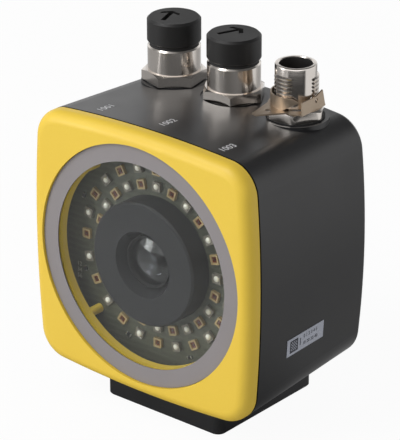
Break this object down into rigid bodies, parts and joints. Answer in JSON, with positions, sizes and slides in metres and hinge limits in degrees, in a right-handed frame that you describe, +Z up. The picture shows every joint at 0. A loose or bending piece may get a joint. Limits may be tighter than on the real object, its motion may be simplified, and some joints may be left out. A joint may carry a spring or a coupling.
{
  "type": "optical position reader",
  "caption": "Square camera read head with a round lit window in a bulged front bezel, capped sockets and a threaded plug on top, and a block foot to bolt down.",
  "frame": {"origin": "middle of the foot's flat underside", "axes": "+Z up through the connectors, -Y out of the front window along the optical axis, +X to the plug's side"},
  "size_m": [0.073, 0.0521, 0.098],
  "materials": {
    "yellow_moulding": "satin",
    "black_moulding": "satin",
    "foot_coating": "satin",
    "clear_window": "polished",
    "lens_glass": "polished",
    "grey_gasket": "matt",
    "black_rubber": "matt",
    "circuit_board": "satin",
    "amber_lamp": "gloss",
    "white_lamp": "gloss",
    "component_body": "matt",
    "lens_moulding": "matt",
    "steel": "bright",
    "nickel": "polished",
    "contact_metal": "polished",
    "clip_bronze": "polished",
    "insert_moulding": "matt",
    "cap_moulding": "satin",
    "key_moulding": "satin",
    "light_guide": "gloss",
    "label_film": "satin"
  },
  "bodies": {
    "reader": {"front_bezel": "yellow_moulding", "housing": "black_moulding", "foot_plate": "foot_coating", "window": "clear_window", "front_lens": "lens_glass", "rear_lens": "lens_glass", "window_gasket": "grey_gasket", "bezel_gasket": "black_rubber", "port_seal_1": "black_rubber", "port_seal_2": "black_rubber", "port_seal_main": "black_rubber", "led_board": "circuit_board", "camera_board": "circuit_board", "processor_board": "circuit_board", "connector_board": "circuit_board", "key_board": "circuit_board", "amber_leds": "amber_lamp", "white_leds": "white_lamp", "led_resistors": "component_body", "image_sensor": "component_body", "processor_chips": "component_body", "link_header": "component_body", "key_switches": "component_body", "lens_shroud": "lens_moulding", "lens_barrel": "lens_moulding", "lens_ring": "lens_moulding", "lens_holder": "lens_moulding", "led_board_screws": "steel", "front_spacers": "steel", "rear_spacers": "steel", "stack_screws": "steel", "key_board_screws": "steel", "foot_screws": "steel", "socket_shell_1": "nickel", "socket_shell_2": "nickel", "plug_shell": "nickel", "port_nuts": "nickel", "socket_contacts_1": "contact_metal", "socket_contacts_2": "contact_metal", "plug_pins": "contact_metal", "earth_clip": "clip_bronze", "socket_insert_1": "insert_moulding", "socket_insert_2": "insert_moulding", "plug_insert": "insert_moulding", "light_guides": "light_guide", "status_leds": "light_guide", "side_label": "label_film"},
    "cap_seal_1": {"port_cap_seal_1": "black_rubber"},
    "cap_1": {"port_cap_1": "cap_moulding"},
    "cap_seal_2": {"port_cap_seal_2": "black_rubber"},
    "cap_2": {"port_cap_2": "cap_moulding"},
    "button_1": {"rear_button_1": "key_moulding"},
    "button_2": {"rear_button_2": "key_moulding"}
  },
  "joints": [
    {"name": "cap_1_lift", "type": "slide", "parent": "reader", "child": "cap_seal_1", "axis": [0, 0, 1], "range_m": [0, 0.005]},
    {"name": "cap_1_turn", "type": "hinge", "parent": "cap_seal_1", "child": "cap_1", "pos_m": [-0.0202, 0.0099, 0.09055], "axis": [0, 0, 1], "range_deg": [0, 1800]},
    {"name": "cap_2_lift", "type": "slide", "parent": "reader", "child": "cap_seal_2", "axis": [0, 0, 1], "range_m": [0, 0.005]},
    {"name": "cap_2_turn", "type": "hinge", "parent": "cap_seal_2", "child": "cap_2", "pos_m": [0, 0.0099, 0.09055], "axis": [0, 0, 1], "range_deg": [0, 1800]},
    {"name": "button_1_press", "type": "slide", "parent": "reader", "child": "button_1", "axis": [0, -1, 0], "range_m": [0, 0.0007], "stiffness_N_per_m": 2000},
    {"name": "button_2_press", "type": "slide", "parent": "reader", "child": "button_2", "axis": [0, -1, 0], "range_m": [0, 0.0007], "stiffness_N_per_m": 2000}
  ],
  "couplings": [
    {"joint": "cap_1_turn", "follows": "cap_1_lift", "rad_per_m": 6283.2},
    {"joint": "cap_2_turn", "follows": "cap_2_lift", "rad_per_m": 6283.2}
  ]
}
